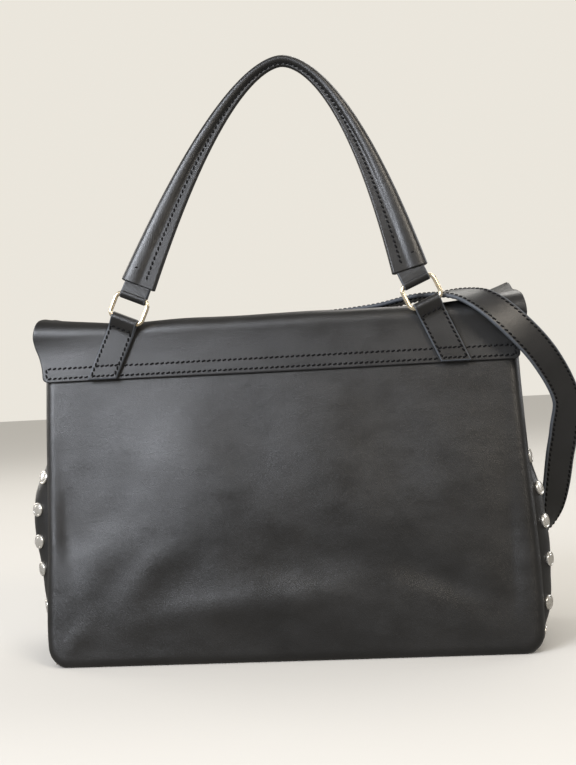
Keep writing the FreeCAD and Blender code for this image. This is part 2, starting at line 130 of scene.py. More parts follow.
def leather(name, dark, light, roughness=0.37, grain=0.0011):
    """Smooth finished hide: fine pores, soft creases across the skin, and wear in its gloss."""
    made = Shader(name, Specular_IOR_Level=0.75, Coat_Weight=0.22, Coat_Roughness=0.30)
    patches = made.cloud(0.07, detail=3.0)
    made.tint(patches, dark, light, 0.35, 0.68)
    smear = made.cloud(0.03, (1, 1.6, 1), detail=4.0)
    made.link(made.between(smear, roughness - 0.055, roughness + 0.075), "Roughness")
    pores = made.node("TexVoronoi", {"Vector": made.place((1, 1.35, 1)), "Scale": 1 / grain},
                      feature="DISTANCE_TO_EDGE").outputs["Distance"]
    pores = made.between(pores, 0, 1, 0.0, 0.28)
    creases = made.cloud(0.0042, (0.8, 1.35, 1), detail=4.0, Roughness=0.6, Distortion=0.3)
    swell = made.cloud(0.034, (0.9, 1.2, 1), detail=2.0)
    made.bumps((swell, 0.26, 0.0016), (creases, 0.13, 0.0005), (pores, 0.26, 0.00022))
    return made.made


def cut_edge(name, tone):
    """The painted edge of a cut strap, with the fibres of the hide under the paint."""
    made = Shader(name, roughness=0.55)
    fibres = made.cloud(0.0022, (1, 3, 1), detail=4.0)
    made.tint(fibres, shade(tone, 0.72), tone)
    made.bumps((fibres, 0.35, 0.0004))
    return made.made


def suede(name, tone):
    """The flesh side of the hide."""
    made = Shader(name, roughness=0.85, Sheen_Weight=0.2)
    nap = made.cloud(0.0016, (1, 1.5, 1), detail=5.0)
    made.tint(nap, shade(tone, 0.6), tone, end=0.75)
    made.bumps((nap, 0.4, 0.0005))
    return made.made


def twill(name, dark, light):
    """Woven lining: diagonal ribs about 0.9 mm apart, with uneven yarn."""
    made = Shader(name, roughness=0.82, Sheen_Weight=0.25)
    ribs = made.node("TexWave", {"Vector": made.place(), "Scale": 190, "Distortion": 0.6, "Detail": 2.0},
                     bands_direction="DIAGONAL").outputs["Fac"]
    yarn = made.cloud(0.0014, (1, 5, 1), detail=3.0)
    mixed = made.node("Mix", {"Factor": 0.4, "A": ribs, "B": yarn}, data_type="FLOAT").outputs["Result"]
    made.tint(mixed, dark, light, 0.2, 0.8)
    made.bumps((mixed, 0.5, 0.0004))
    return made.made


def plated(name, dark, light, roughness, metallic=0.8):
    """Polished plate, with faint handling marks."""
    made = Shader(name, metallic=metallic)
    marks = made.cloud(0.012, source="Object", detail=5.0)
    made.tint(marks, dark, light)
    made.link(made.between(marks, roughness - 0.05, roughness + 0.09), "Roughness")
    scratches = made.cloud(0.0012, (1, 1, 7), detail=3.0, source="Object")
    made.bumps((scratches, 0.06, 0.0001))
    return made.made


def thread(name, tone):
    """Twisted waxed thread."""
    made = Shader(name, roughness=0.75, Specular_IOR_Level=0.25)
    twist = made.node("TexWave", {"Vector": made.place(source="Object"), "Scale": 420, "Distortion": 1.0},
                      bands_direction="DIAGONAL").outputs["Fac"]
    made.tint(twist, shade(tone, 0.5), tone, 0.2, 0.8)
    made.bumps((twist, 0.4, 0.0002))
    return made.made


HIDE = leather("black_hide", (0.0062, 0.0058, 0.0057), (0.0112, 0.0105, 0.0102))
STRAP_HIDE = leather("strap_hide", (0.0085, 0.0083, 0.0088), (0.0150, 0.0146, 0.0155), roughness=0.41)
EDGE = cut_edge("edge_paint", (0.060, 0.068, 0.082))
DARK_EDGE = cut_edge("dark_edge", (0.020, 0.020, 0.022))
FLESH = suede("flesh_side", (0.045, 0.042, 0.040))
LINING = twill("lining_twill", (0.040, 0.036, 0.032), (0.115, 0.105, 0.095))
GOLD = plated("pale_gold", (0.72, 0.60, 0.42), (0.86, 0.76, 0.58), roughness=0.15)
NICKEL = plated("pale_nickel", (0.76, 0.73, 0.67), (0.88, 0.85, 0.80), roughness=0.22)
THREAD = thread("black_thread", (0.0035, 0.0035, 0.0040))
BOARD = suede("fibre_board", (0.25, 0.22, 0.18))

# Each set is a sheet's outer face, its edges and its inner face.
PANEL = [HIDE, DARK_EDGE, FLESH]
LOOP = [HIDE, EDGE, DARK_EDGE]
STRAP_LOOP = [STRAP_HIDE, EDGE, DARK_EDGE]
CLOTH = [LINING] * 3
PLATE = [GOLD] * 3

# ---- meshes


def settle(piece, on, slot=None, *nodes):
    """Hang a piece on its body; where on is a bend, only bake its transform into its mesh. Hide the CAD nodes
    it stands in for. slot is not used.
    """
    if isinstance(on, str):
        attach(piece, on)
    else:
        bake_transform(piece)
    if nodes:
        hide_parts(*nodes)


def unit(rows):
    return rows / np.maximum(np.linalg.norm(rows, axis=-1, keepdims=True), 1e-9)


def curve(at, stops):
    """A smooth line through stops, each a place and its value."""
    places, values = np.array(stops, float).T
    slopes = np.gradient(values, places)
    k = np.clip(np.searchsorted(places, at) - 1, 0, len(places) - 2)
    wide = places[k + 1] - places[k]
    t = np.clip((at - places[k]) / wide, 0, 1)
    low = (2 * t ** 3 - 3 * t ** 2 + 1) * values[k] + (t ** 3 - 2 * t ** 2 + t) * wide * slopes[k]
    return low + (3 * t ** 2 - 2 * t ** 3) * values[k + 1] + (t ** 3 - t ** 2) * wide * slopes[k + 1]


def mesh_piece(name, spots, faces, materials, kinds=None, flat=None):
    """A smooth-shaded object. flat holds a texture place for each corner of each face, in millimetres."""
    mesh = bpy.data.meshes.new(name)
    mesh.from_pydata((np.asarray(spots) * MM).tolist(), [], faces)
    for material in materials:
        mesh.materials.append(material)
    if kinds is not None:
        mesh.polygons.foreach_set("material_index", np.asarray(kinds, np.int32))
    if flat is not None:
        layer = mesh.uv_layers.new(name="UVMap")
        layer.data.foreach_set("uv", (np.asarray(flat) * MM).astype(np.float32).ravel())
    mesh.shade_smooth()
    made = bpy.data.objects.new(name, mesh)
    scene.collection.objects.link(made)
    return made


def gone_along(line):
    """The length of a line up to each of its points."""
    return np.concatenate([[0], np.cumsum(np.linalg.norm(np.diff(line, axis=0), axis=1))])


def normals(mid):
    return unit(np.cross(np.gradient(mid, axis=1), np.gradient(mid, axis=0)))


def corners(grid):
    """The four corners of each of a grid's cells, in order round it."""
    return np.stack([grid[:-1, :-1], grid[:-1, 1:], grid[1:, 1:], grid[1:, :-1]], axis=2)


def lengths(mid):
    """Each grid point's place on the flat leather: along its row from the middle, and up the rows."""
    across = np.linalg.norm(np.diff(mid, axis=1), axis=2)
    across = np.concatenate([np.zeros((len(mid), 1)), np.cumsum(across, axis=1)], axis=1)
    across -= across[:, mid.shape[1] // 2][:, None]
    up = np.linalg.norm(np.diff(mid, axis=0), axis=2).mean(axis=1)
    up = np.concatenate([[0], np.cumsum(up)])
    return np.stack([across, np.repeat(up[:, None], mid.shape[1], axis=1)], axis=2)


def round_off(fields, axis, first, half):
    """The fields of a sheet with a rounded edge added along one side."""
    mid, normal, share, flat = [np.moveaxis(f, axis, 0)[::-1 if first else 1] for f in fields]
    ahead = unit(mid[-1] - mid[-2])
    step = unit(flat[-1] - flat[-2])
    rows = [[mid[-1] * 0.85 + mid[-2] * 0.15], [normal[-1]], [share[-1]], [flat[-1] * 0.85 + flat[-2] * 0.15]]
    for turn in (0, 30, 60, 90):
        out, left = sin(radians(turn)) * half, 0 if turn == 90 else cos(radians(turn))
        ends = (mid[-1] + ahead * out, normal[-1], share[-1] * left, flat[-1] + step * out)
        for row, value in zip(rows, ends):
            row.append(value)
    joined = [np.concatenate([f[:-1], np.array(row)]) for f, row in zip((mid, normal, share, flat), rows)]
    return [np.moveaxis(f[::-1 if first else 1], 0, axis) for f in joined]


def sheet(name, mid, thick, materials, cut="", normal=None, flat=None):
    """Leather built from its middle surface, with rounded edges except at its cut sides.

    Sides are b and t for the first and last row, l and r for the first and last column. materials are the
    outer face's, the edges' and the inner face's.
    """
    normal = normals(mid) if normal is None else normal
    flat = lengths(mid) if flat is None else flat
    fields = [mid, normal, np.ones(mid.shape[:2]), flat]
    for axis, ends in ((0, "bt"), (1, "lr")):
        for first, side in zip((True, False), ends):
            if side not in cut:
                fields = round_off(fields, axis, first, thick / 2)
    mid, normal, share, flat = fields
    lift = normal * share[..., None] * thick / 2
    count = share.size
    outer = np.arange(count).reshape(share.shape)
    inner = np.where(share > 0, outer + count, outer)
    quads, kinds, places = [], [], []
    on_edge = corners(share).min(axis=2) < 0.99
    flats = flat.reshape(-1, 2)
    for layer, face, order in ((outer, 0, (0, 1, 2, 3)), (inner, 2, (3, 2, 1, 0))):
        cells = corners(layer).reshape(-1, 4)[:, order]
        quads.append(cells)
        kinds.append(np.where(on_edge.ravel(), 1, face))
        places.append(flats[cells % count].reshape(-1, 2))
    spots = np.concatenate([(mid + lift).reshape(-1, 3), (mid - lift).reshape(-1, 3)])
    spots[:, 2] = np.maximum(spots[:, 2], 0.1)
    quads = np.concatenate(quads)
    used, again = np.unique(quads, return_inverse=True)
    return mesh_piece(name, spots[used], again.reshape(quads.shape).tolist(), materials,
                      np.concatenate(kinds), np.concatenate(places))


def laid(name, mid, out, thick, materials, cut=""):
    """A sheet whose outer face looks along out at its first rows."""
    face = normals(mid)
    if face[1, mid.shape[1] // 2] @ np.asarray(out) <= 0:
        mid, face = mid[:, ::-1], -face[:, ::-1]
    return sheet(name, mid, thick, materials, cut, face)


def skin(name, rings, materials, loop=False):
    """A skin over closed rings of points, capped at both ends unless the rings run back into the first."""
    rows, around = rings.shape[:2]
    index = np.arange(rows * around).reshape(rows, around)
    index = np.concatenate([index, index[:, :1]], axis=1)
    closed = np.concatenate([rings, rings[:, :1]], axis=1)
    up = gone_along(rings.mean(axis=1))
    wide = np.linalg.norm(np.diff(closed, axis=1), axis=2).mean(axis=0)
    wide = np.concatenate([[0], np.cumsum(wide)])
    if loop:
        index = np.concatenate([index, index[:1]])
        up = np.append(up, up[-1] + np.linalg.norm(rings[0].mean(axis=0) - rings[-1].mean(axis=0)))
    flat = np.stack(np.meshgrid(wide, up), axis=2)
    faces = corners(index).reshape(-1, 4).tolist()
    places = corners(flat).reshape(-1, 2).tolist()
    spots = rings.reshape(-1, 3).tolist()
    if not loop:
        for end, order in ((0, -1), (rows - 1, 1)):
            middle = len(spots)
            spots.append(rings[end].mean(axis=0).tolist())
            for k in range(around):
                pair = [int(index[end, k]), int(index[end, k + 1])][::order]
                faces.append([*pair, middle])
                places += [[k, 0], [k + 1, 0], [k, 5]]
    return mesh_piece(name, spots, faces, materials, flat=places)


def copies(name, rings, frames, materials):
    """One capped skin repeated: each frame is a point and its right, up and out directions."""
    rows, around = rings.shape[:2]
    index = np.arange(rows * around).reshape(rows, around)
    faces = corners(np.concatenate([index, index[:, :1]], axis=1)).reshape(-1, 4).tolist()
    caps = [index[0][::-1].tolist(), index[-1].tolist()]
    spots, every = [], []
    shape = rings.reshape(-1, 3)
    for k, (at, right, up, out) in enumerate(frames):
        spots.append(np.asarray(at) + shape @ np.array([right, up, out]))
        every += [[v + k * len(shape) for v in face] for face in faces + caps]
    return mesh_piece(name, np.concatenate(spots), every, materials)


def oval_rings(stations, sides=8):
    """Rings across the X axis: each station is a place, a half width, a half height and a lift."""
    turn = np.arange(sides) * 2 * pi / sides
    return np.array([[(x, wide * cos(a), lift + high * sin(a)) for a in turn]
                     for x, wide, high, lift in stations])


STITCH = oval_rings([(-1.75, 0.2, 0.15, -0.6), (-1.5, 0.58, 0.4, -0.15), (-0.9, 0.74, 0.52, 0.2),
                     (0.9, 0.74, 0.52, 0.2), (1.5, 0.58, 0.4, -0.15), (1.75, 0.2, 0.15, -0.6)])


def stitches(name, runs, pitch=4.2, tilt=20.0):
    """Thread in rows. Each run is a line of points and the directions that the leather faces along it."""
    frames = []
    turn = radians(tilt)
    for line, facing in runs:
        line = np.asarray(line, float)
        facing = np.broadcast_to(np.asarray(facing, float), line.shape)
        gone = gone_along(line)
        count = max(1, round(gone[-1] / pitch))
        for k in range(count):
            at = (k + 0.5) * gone[-1] / count
            near = [np.interp([at - 1, at, at + 1], gone, line[:, j]) for j in range(3)]
            spots = np.array(near).T
            out = unit(np.array([np.interp(at, gone, facing[:, j]) for j in range(3)]))
            ahead = unit(spots[2] - spots[0])
            side = unit(np.cross(out, ahead))
            right = ahead * cos(turn) + side * sin(turn)
            frames.append((spots[1], right, np.cross(out, right), out))
    return copies(name, STITCH, frames, [THREAD])


def lathe_rings(profile, sides=28):
    """Rings round the Z axis from pairs of radius and height."""
    turn = np.arange(sides) * 2 * pi / sides
    return np.array([[(r * cos(a), r * sin(a), z) for a in turn] for r, z in profile])


def upright(at, out):
    """A frame whose third direction is out."""
    out = unit(np.asarray(out, float))
    right = unit(np.cross((0, 0, 1) if abs(out[2]) < 0.9 else (0, 1, 0), out))
    return at, right, np.cross(out, right), out


CAP = [(0.96, 0), (1, 0.3), (1, 0.55), (0.95, 0.85), (0.86, 0.97), (0.78, 0.95), (0.73, 0.78), (0.68, 0.8),
       (0.62, 0.97), (0.45, 1.03), (0.2, 1.06), (0.02, 1.07)]


def rivets(name, places, radius, high):
    """Flat caps with a turned groove inside a rounded rim, on a skirt that is sunk in the leather."""
    profile = [(radius * 0.9, -1.2)] + [(radius * wide, high * tall) for wide, tall in CAP]
    made = copies(name, lathe_rings(profile), [upright(*p) for p in places], [NICKEL])
    return made


def wire(name, centre, right, up, wide, tall, corner, radius=1.8):
    """A rounded rectangular ring of round wire."""
    right, up = unit(np.asarray(right, float)), unit(np.asarray(up, float))
    out = np.cross(right, up)
    a, b = wide / 2 - radius - corner, tall / 2 - radius - corner
    rings = []
    for quarter, (sx, sy) in enumerate(((1, 1), (-1, 1), (-1, -1), (1, -1))):
        for step in range(7):
            t = (quarter + step / 6) * pi / 2
            away = right * cos(t) + up * sin(t)
            spot = centre + right * sx * a + up * sy * b + away * corner
            rings.append([spot + (away * cos(s) + out * sin(s)) * radius
                          for s in np.arange(16) * pi / 8])
    made = skin(name, np.array(rings), [GOLD], loop=True)
    return made


# ---- the body's shape

# Half depths at the base and the rim, and the rim's height.
DEEP, RIM_DEEP, RIM = 75, 50, 258
LEAN = atan((DEEP - RIM_DEEP) / RIM)
UP, IN = cos(LEAN), sin(LEAN)
LEATHER = 2.2
CORNER = 16
LEFT, RIGHT = 0, 1

# Tables of heights and lengths: half the back's width, how far each gusset swells past it, and how deep a
# gusset's middle folds in. PUFF and TUCK share the last two out from a gusset's middle to its seam.
HALF = ([(0, 191.5), (25, 193), (58, 192.5), (100, 191.2), (150, 190.6), (183, 190.4), (228, 189.6),
         (RIM, 189)],
        [(0, 195.5), (25, 196.8), (60, 197), (104, 195.2), (150, 192.8), (183, 191.2), (213, 190),
         (RIM, 189)])
SWELL = ([(0, 0), (30, 1), (45, 3), (60, 7), (78, 10.5), (99, 14), (120, 15.5), (136, 14), (150, 9),
          (163, 3), (175, 0.5), (200, 0), (RIM, 0)],
         [(0, 0), (14, 2), (30, 7), (48, 9.5), (73, 10.5), (100, 10), (125, 7.5), (145, 4), (163, 1.5),
          (185, 0), (RIM, 0)])
FOLD = [(0, 0), (40, 2.8), (120, 4.6), (190, 6.8), (256, 14)]
PUFF = [(0, 0), (0.25, 0.2), (0.5, 0.7), (0.74, 1.0), (0.86, 0.78), (0.96, 0.22), (1.0, 0)]
TUCK = [(0, 1), (0.25, 0.42), (0.55, 0.02), (1.0, 0)]


def back(across, out, high):
    """A point on the leaning back panel, out from its face."""
    across, out, high = np.broadcast_arrays(across, out, high)
    return np.stack([across, DEEP + out * UP - high * IN, out * IN + high * UP], axis=-1)


def front(across, out, high):
    """The same on the front panel."""
    return back(across, out, high) * (1, -1, 1)


BACK_OUT = np.array((0, UP, IN))
FRONT_OUT = np.array((0, -UP, IN))


def deep_at(high):
    """Half the body's depth at a height."""
    return DEEP - (DEEP - RIM_DEEP) * high / RIM


def bulge(z, near, which, share=1.0):
    """How far a gusset stands out past the back's width; near goes from its middle to its seam."""
    return curve(z, SWELL[which]) * curve(near, PUFF) * share - curve(z, FOLD) * curve(near, TUCK)


def steps_across(fine, edge, middle):
    """Places from -1 to 1, closer together outside fine than inside it."""
    return np.concatenate([np.linspace(-1, -fine, edge)[:-1], np.linspace(-fine, fine, middle),
                           np.linspace(fine, 1, edge)[1:]])


def round_steps(size, first, last, count):
    """Heights up a rounded corner, at even turns of its arc."""
    return size * (1 - np.cos(np.radians(np.linspace(first, last, count))))


def side_of(name):
    return (1, LEFT) if name == "left" else (-1, RIGHT)


def half_at(high, which):
    """Half the width at a height, with the bottom corner's rounding."""
    low = np.clip(CORNER - high, 0, CORNER)
    return curve(high, HALF[which]) - CORNER + np.sqrt(CORNER ** 2 - low ** 2)


def ridge(x, z, centre, along, wide, tall, turn):
    """A long soft bump, or a dent where tall is negative, lying at an angle on the panel."""
    c, s = cos(radians(turn)), sin(radians(turn))
    u, v = (x - centre[0]) * c + (z - centre[1]) * s, (z - centre[1]) * c - (x - centre[0]) * s
    return tall * np.exp(-(u / along) ** 2 - (v / wide) ** 2)


def cloud(spots, size, seed):
    """Smooth noise at each point, between about -1 and 1."""
    flat = spots.reshape(-1, 3)
    found = [noise.noise(Vector(p) / size + Vector((seed, seed * 1.7, 0))) for p in flat]
    return np.array(found).reshape(spots.shape[:-1])


# Long soft dents and bumps of the back: centre, half length, half width, height and turn in degrees.
DENTS = (((146, 50), 34, 13, -2.2, -48), ((122, 64), 50, 14, 1.5, -36), ((164, 28), 26, 9, 1.3, -52),
         ((172, 104), 40, 11, -1.8, 80), ((-30, 74), 60, 24, -3.2, 12), ((30, 46), 80, 14, 2.2, -6),
         ((-120, 60), 48, 13, -2.4, 24), ((-176, 90), 60, 12, -1.6, 92), ((60, 150), 70, 34, 1.6, 70),
         ((-90, 160), 80, 30, -1.6, 80))


def sag(x, z):
    """How far the filled-out, dented leather of the back stands off its plane."""
    tall = curve(z, [(0, 0), (26, 0.45), (80, 1), (150, 0.72), (205, 0.2), (228, 0), (RIM, 0)])
    belly = 6.5 * tall * np.clip(1 - (x / 200) ** 2, 0, 1)
    spots = np.stack([x, z, x * 0], axis=-1)
    dents = sum(ridge(x, z, *dent) for dent in DENTS)
    dents += (1.5 * cloud(spots, 66, 3.1) + 0.26 * cloud(spots, 22, 8.4)) * tall
    edge = np.clip((192 - np.abs(x)) / 16, 0, 1) * np.clip(z / 14, 0, 1) * np.clip((226 - z) / 26, 0, 1)
    return belly + dents * edge


def panel_grid(rear):
    """The middle surface of the back or front panel, rolled inward along its seams."""
    rows = np.concatenate([round_steps(CORNER, 14, 84, 9), np.linspace(18, RIM, 66)])
    z, u = np.meshgrid(rows, steps_across(0.88, 12, 76), indexing="ij")
    x = u * np.where(u > 0, half_at(z, LEFT), half_at(z, RIGHT))
    straight = np.where(u > 0, curve(z, HALF[LEFT]), curve(z, HALF[RIGHT]))
    inside = np.minimum(straight - np.abs(x), z)
    around = CORNER - np.hypot(np.abs(x) - straight + CORNER, CORNER - z)
    in_corner = (np.abs(x) > straight - CORNER) & (z < CORNER)
    off = np.where(in_corner, around, inside)
    roll = 7.0
    near = np.clip(roll - off, 0, roll)
    drop = roll - np.sqrt(np.maximum(roll ** 2 - near ** 2, 0))
    stand = sag(x, z) if rear else sag(-x, z) * 0.55 * np.clip((236 - z) / 30, 0, 1)
    face = back if rear else front
    return face(x, stand - drop - LEATHER / 2, z / UP)


def gusset_grid(name):
    """A gusset's middle surface, and each point's place across it from 1 at the back to -1."""
    side, which = side_of(name)
    rows = np.concatenate([round_steps(CORNER, 33, 84, 7), np.linspace(18, 256, 66)])
    z, v = np.meshgrid(rows, -steps_across(0.8, 9, 41), indexing="ij")
    near = np.abs(v)
    x = half_at(z, which) - LEATHER / 2 - 2.6 * np.clip((near - 0.93) / 0.07, 0, 1) ** 2
    x = x + bulge(z, near, which, np.where(v > 0, 1, 0.9))
    spots = np.stack([side * x, v * (deep_at(z) - 7.5), z], axis=-1)
    fade = np.clip((1 - near) * 6, 0, 1) * np.clip(z / 30, 0, 1) * np.clip((256 - z) / 20, 0, 1)
    spots[..., 0] += side * fade * (1.3 * cloud(spots, 34, 5.0) + 0.5 * cloud(spots, 13, 2.0))
    return spots, v


def faced(mid, axis, way):
    """A grid's normals, turned to face way along an axis."""
    face = normals(mid)
    return face * np.sign(face[..., axis].mean() * way)


def wound(mid, face, column):
    """A grid and its directions, reversed where its faces would wind away from them."""
    across, along = mid[40, column + 1] - mid[40, column], mid[41, column] - mid[40, column]
    if face[40, column] @ np.cross(across, along) < 0:
        return mid[:, ::-1], face[:, ::-1]
    return mid, face


for name, rear in (("back_panel", True), ("front_panel", False)):
    mid = panel_grid(rear)
    mid, face = wound(mid, faced(mid, 1, 1 if rear else -1), 40)
    settle(sheet(f"{name}_hide", mid, LEATHER, PANEL, normal=face), "bag", "leather", name)

# Heights of the rivets, and how far each is from the gusset's middle to its seam.
RIVET_UPS = {"left": ((46, 0.9), (75, 0.87), (99, 0.87), (124, 0.87), (150, 0.9)),
             "right": ((15, 0.9), (38, 0.87), (69.5, 0.85), (97.5, 0.85), (124, 0.86), (150, 0.9))}
for name in ("left", "right"):
    side, which = side_of(name)
    mid, depths = gusset_grid(name)
    face = faced(mid, 0, side)
    places = []
    for high, share in RIVET_UPS[name]:
        for way in (1, -1):
            i = np.abs(mid[:, 5, 2] - high).argmin()
            j = np.abs(depths[i] - way * share).argmin()
            places.append((mid[i, j] + face[i, j] * LEATHER / 2, face[i, j]))
    mid, face = wound(mid, face, 20)
    made = sheet(f"gusset_{name}_hide", mid, LEATHER, PANEL, normal=face)
    settle(made, "bag", "leather", f"gusset_{name}")
    made = rivets(f"gusset_rivets_{name}_caps", places, 5.75, 1.6)
    settle(made, "bag", None, f"gusset_rivets_{name}")

x, y = np.meshgrid(np.linspace(-1, 1, 90), np.linspace(-70.5, 70.5, 34))
low = np.array(2.6)
ends = np.where(x > 0, half_at(low, LEFT), half_at(low, RIGHT)) + 1.5
tucked = np.clip(np.abs(x) * ends - (ends - 10), 0, None)
y = y * (1 - 0.05 * np.clip(tucked / 10, 0, 1))
mid = np.stack([x * ends, y, 1.2 + tucked ** 2 * 0.022], axis=-1)[:, ::-1]
settle(sheet("base_hide", mid, 2.3, PANEL), "bag", "leather", "base_panel")

# ---- the flap

# The flap is followed by s, the length from its back hem: up the back, over the top and down the front.
BEND, BEND_TURN = 9.0, radians(84.465)
FLAP_LEAN = radians(5.535)
BACK_BEND_OUT, FRONT_BEND_OUT, TOP_HIGH = 41.98, 43.79, 270.8
SEAM_LOW, DROP_LOW = 228, 95
HEM_ROUND, SEAM_ROUND = 26, 4
FLAP_LEATHER = 2.4
BACK_RUN = 263.77 - SEAM_LOW
ARC = BEND * BEND_TURN
TOP_RUN = BACK_BEND_OUT + FRONT_BEND_OUT
MID_TOP = BACK_RUN + ARC + BACK_BEND_OUT
DROP_FROM = BACK_RUN + 2 * ARC + TOP_RUN
HEM = DROP_FROM + 263.6 - DROP_LOW

# Tables along s: half the flap's width, the rise of its left and right corners, where its top waves, and the
# dip under the strap.
FLAP_HALF = [(0, 189.7), (10, 190.2), (20, 192.4), (29, 195.6), (36, 196.8), (44, 195.4), (52, 192.6),
             (62, 190.6), (80, 190), (110, 189.8), (140, 189.2), (170, 189), (HEM, 188.4)]
CURL = ([(0, 0), (28, 0), (38, 1.5), (50, 5.5), (66, 9.0), (84, 10.5), (98, 8.5), (112, 4.4), (126, 1.9),
         (140, 0.8), (170, 0), (HEM, 0)],
        [(0, 0), (30, 0), (40, 2.5), (56, 9), (76, 15.5), (96, 20.5), (112, 21), (128, 15), (142, 8),
         (158, 3), (185, 0), (HEM, 0)])
WAVES = [(0, 0), (34, 0), (60, 1), (110, 1), (140, 0.4), (180, 0), (HEM, 0)]
DIP = [(0, 0), (36, 0), (50, 1.3), (66, -1.0), (90, -1.5), (128, -1.4), (146, 0), (160, 0), (HEM, 0)]


def flap_line(s):
    """The flap's middle line at s, and its outward direction."""
    s = np.asarray(s, float)
    turn = np.clip((s - BACK_RUN) / ARC, 0, 1) * BEND_TURN + FLAP_LEAN
    turn2 = np.clip((s - BACK_RUN - ARC - TOP_RUN) / ARC, 0, 1) * BEND_TURN + radians(90)
    angle = np.where(s < BACK_RUN + ARC + TOP_RUN, turn, turn2)
    out_y, out_z = np.cos(angle), np.sin(angle)
    low = np.minimum(s - BACK_RUN, 0)
    top = np.clip(s - BACK_RUN - ARC, 0, TOP_RUN)
    down = np.clip(s - DROP_FROM, 0, None)
    y = BACK_BEND_OUT + BEND * out_y - top - low * IN
    z = TOP_HIGH - BEND + BEND * out_z + low * UP
    return y - down * IN, z - down * UP, out_y, out_z


def flap_half(s):
    """Half the flap's width at s, with its rounded corners."""
    low = np.clip(HEM_ROUND - (HEM - s), 0, HEM_ROUND)
    back_low = np.clip(SEAM_ROUND - s, 0, SEAM_ROUND)
    half = curve(s, FLAP_HALF) - HEM_ROUND + np.sqrt(HEM_ROUND ** 2 - low ** 2)
    return half - SEAM_ROUND + np.sqrt(SEAM_ROUND ** 2 - back_low ** 2)


def flap_grid(s, u, off=0.0):
    """Points of the flap, off its middle surface along its outward direction."""
    s, u = np.broadcast_arrays(np.asarray(s, float), np.asarray(u, float))
    x = u * flap_half(s)
    y, z, out_y, out_z = flap_line(s)
    left = np.clip((x - 112) / 80, 0, 1.3) ** 1.8 * curve(s, CURL[LEFT])
    right = np.clip((-x - 96) / 94, 0, 1.3) ** 1.8 * curve(s, CURL[RIGHT])
    wave = curve(s, WAVES) * (0.3 * np.cos(x / 96) - ridge(x, s, (124, 58), 26, 22, 1.8, 0)) + curve(s, DIP)
    spots = np.stack([x, z * 0, s], axis=-1)
    wave = wave + 0.7 * cloud(spots, 48, 4.0) * np.clip((s - 20) / 30, 0, 1)
    hem = np.clip((s - HEM + 90) / 90, 0, 1) ** 2 * (0.8 + 1.2 * cloud(spots, 70, 6.0))
    lift = off + left + right + wave + hem
    return np.stack([x, y + out_y * lift, z + out_z * lift], axis=-1)


s = np.concatenate([round_steps(SEAM_ROUND, 20, 90, 5), np.linspace(6, MID_TOP, 46)[:-1],
                    np.linspace(MID_TOP, HEM - 27, 62)[:-1], HEM - round_steps(HEM_ROUND, 90, 12, 12)])
middle = int(np.abs(s - MID_TOP).argmin())
lined_from = int(np.abs(s - 46).argmin())
whole = flap_grid(*np.meshgrid(s, steps_across(0.9, 7, 80)[::-1], indexing="ij"))
whole_face = normals(whole)
whole_face *= np.sign(whole_face[middle, 40, 2])
whole_flat = lengths(whole)
inner = whole - whole_face * 1.75
BACK_BEND = dict(a="bag", b="flap", start=(0, 0.0535, 0.2665), end=(0, 0.041, 0.272))
FRONT_BEND = dict(a="flap", b="flap_drop", start=(0, -0.042, 0.272), end=(0, -0.0555, 0.264))
upper, lower = slice(0, middle + 1), slice(middle, None)
for end, rows, cut, bend, nodes in (("", upper, "t", BACK_BEND, ("flap_seam_band", "flap_top")),
                                    ("_drop", lower, "b", FRONT_BEND, ("flap_front",))):
    made = sheet(f"flap{end}_hide", whole[rows], FLAP_LEATHER, PANEL, cut, whole_face[rows], whole_flat[rows])
    settle(made, bend, "leather", *nodes)
for label, rows, cut, bend in (("flap_top_lining", slice(lined_from, middle + 1), "t", BACK_BEND),
                               ("flap_front_lining", slice(middle, len(s) - 3), "b", FRONT_BEND)):
    made = sheet(f"{label}_cloth", inner[rows, 2:-2], 0.8, CLOTH, cut, whole_face[rows, 2:-2])
    settle(made, bend, "lining", label)


def flap_run(points, off=FLAP_LEATHER / 2):
    """A line on the flap's outer face through pairs of s and x, and the directions it faces."""
    points = np.array(points, float)
    gone = gone_along(points)
    at = np.linspace(0, gone[-1], max(3, int(gone[-1] / 3)))
    s_at, x_at = np.interp(at, gone, points[:, 0]), np.interp(at, gone, points[:, 1])
    spots = [flap_grid(s_at, x_at / flap_half(s_at), d) for d in (off, off + 1)]
    return spots[0], spots[1] - spots[0]


# A handle tab leans in from its foot's middle, and the band's two rows of stitches break off round it.
TAB_FOOT, TAB_FROM, TAB_LEAN = 139.8, 231, radians(23.5)
TAB_CLEAR, ROW_END = 12.6, 187
ROW_UPS = (230.7, 238.7)
row_s = [high - SEAM_LOW for high in ROW_UPS]
runs = []
for high, row in zip(ROW_UPS, row_s):
    tab = TAB_FOOT - (high - TAB_FROM) * tan(TAB_LEAN)
    near, far = tab - TAB_CLEAR, tab + TAB_CLEAR
    for a, b in ((-ROW_END, -far), (-near, near), (far, ROW_END)):
        runs.append(flap_run([(row, a), (row, b)]))
runs += [flap_run([(row, x) for row in row_s]) for x in (-187.3, 187.3)]
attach(stitches("band_thread", runs), "bag")

SEW_ROUND, SEW_HALF = 22.2, 162.4
corner = [(HEM - HEM_ROUND + SEW_ROUND * sin(t), SEW_HALF + SEW_ROUND * cos(t))
          for t in np.radians(np.linspace(0, 90, 9))]
edge = [(DROP_FROM - 8, 186.2), (DROP_FROM + 20, 184.8)] + corner
rows = flap_run(edge + [(s_at, -x_at) for s_at, x_at in edge[::-1]])
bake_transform(stitches("drop_thread", [rows]))

# ---- handle tabs, rings and chapes

HINGE = dict(a="bag", b="handle", start=(0, 0.0555, 0.2600), end=(0, 0.0560, 0.2700))


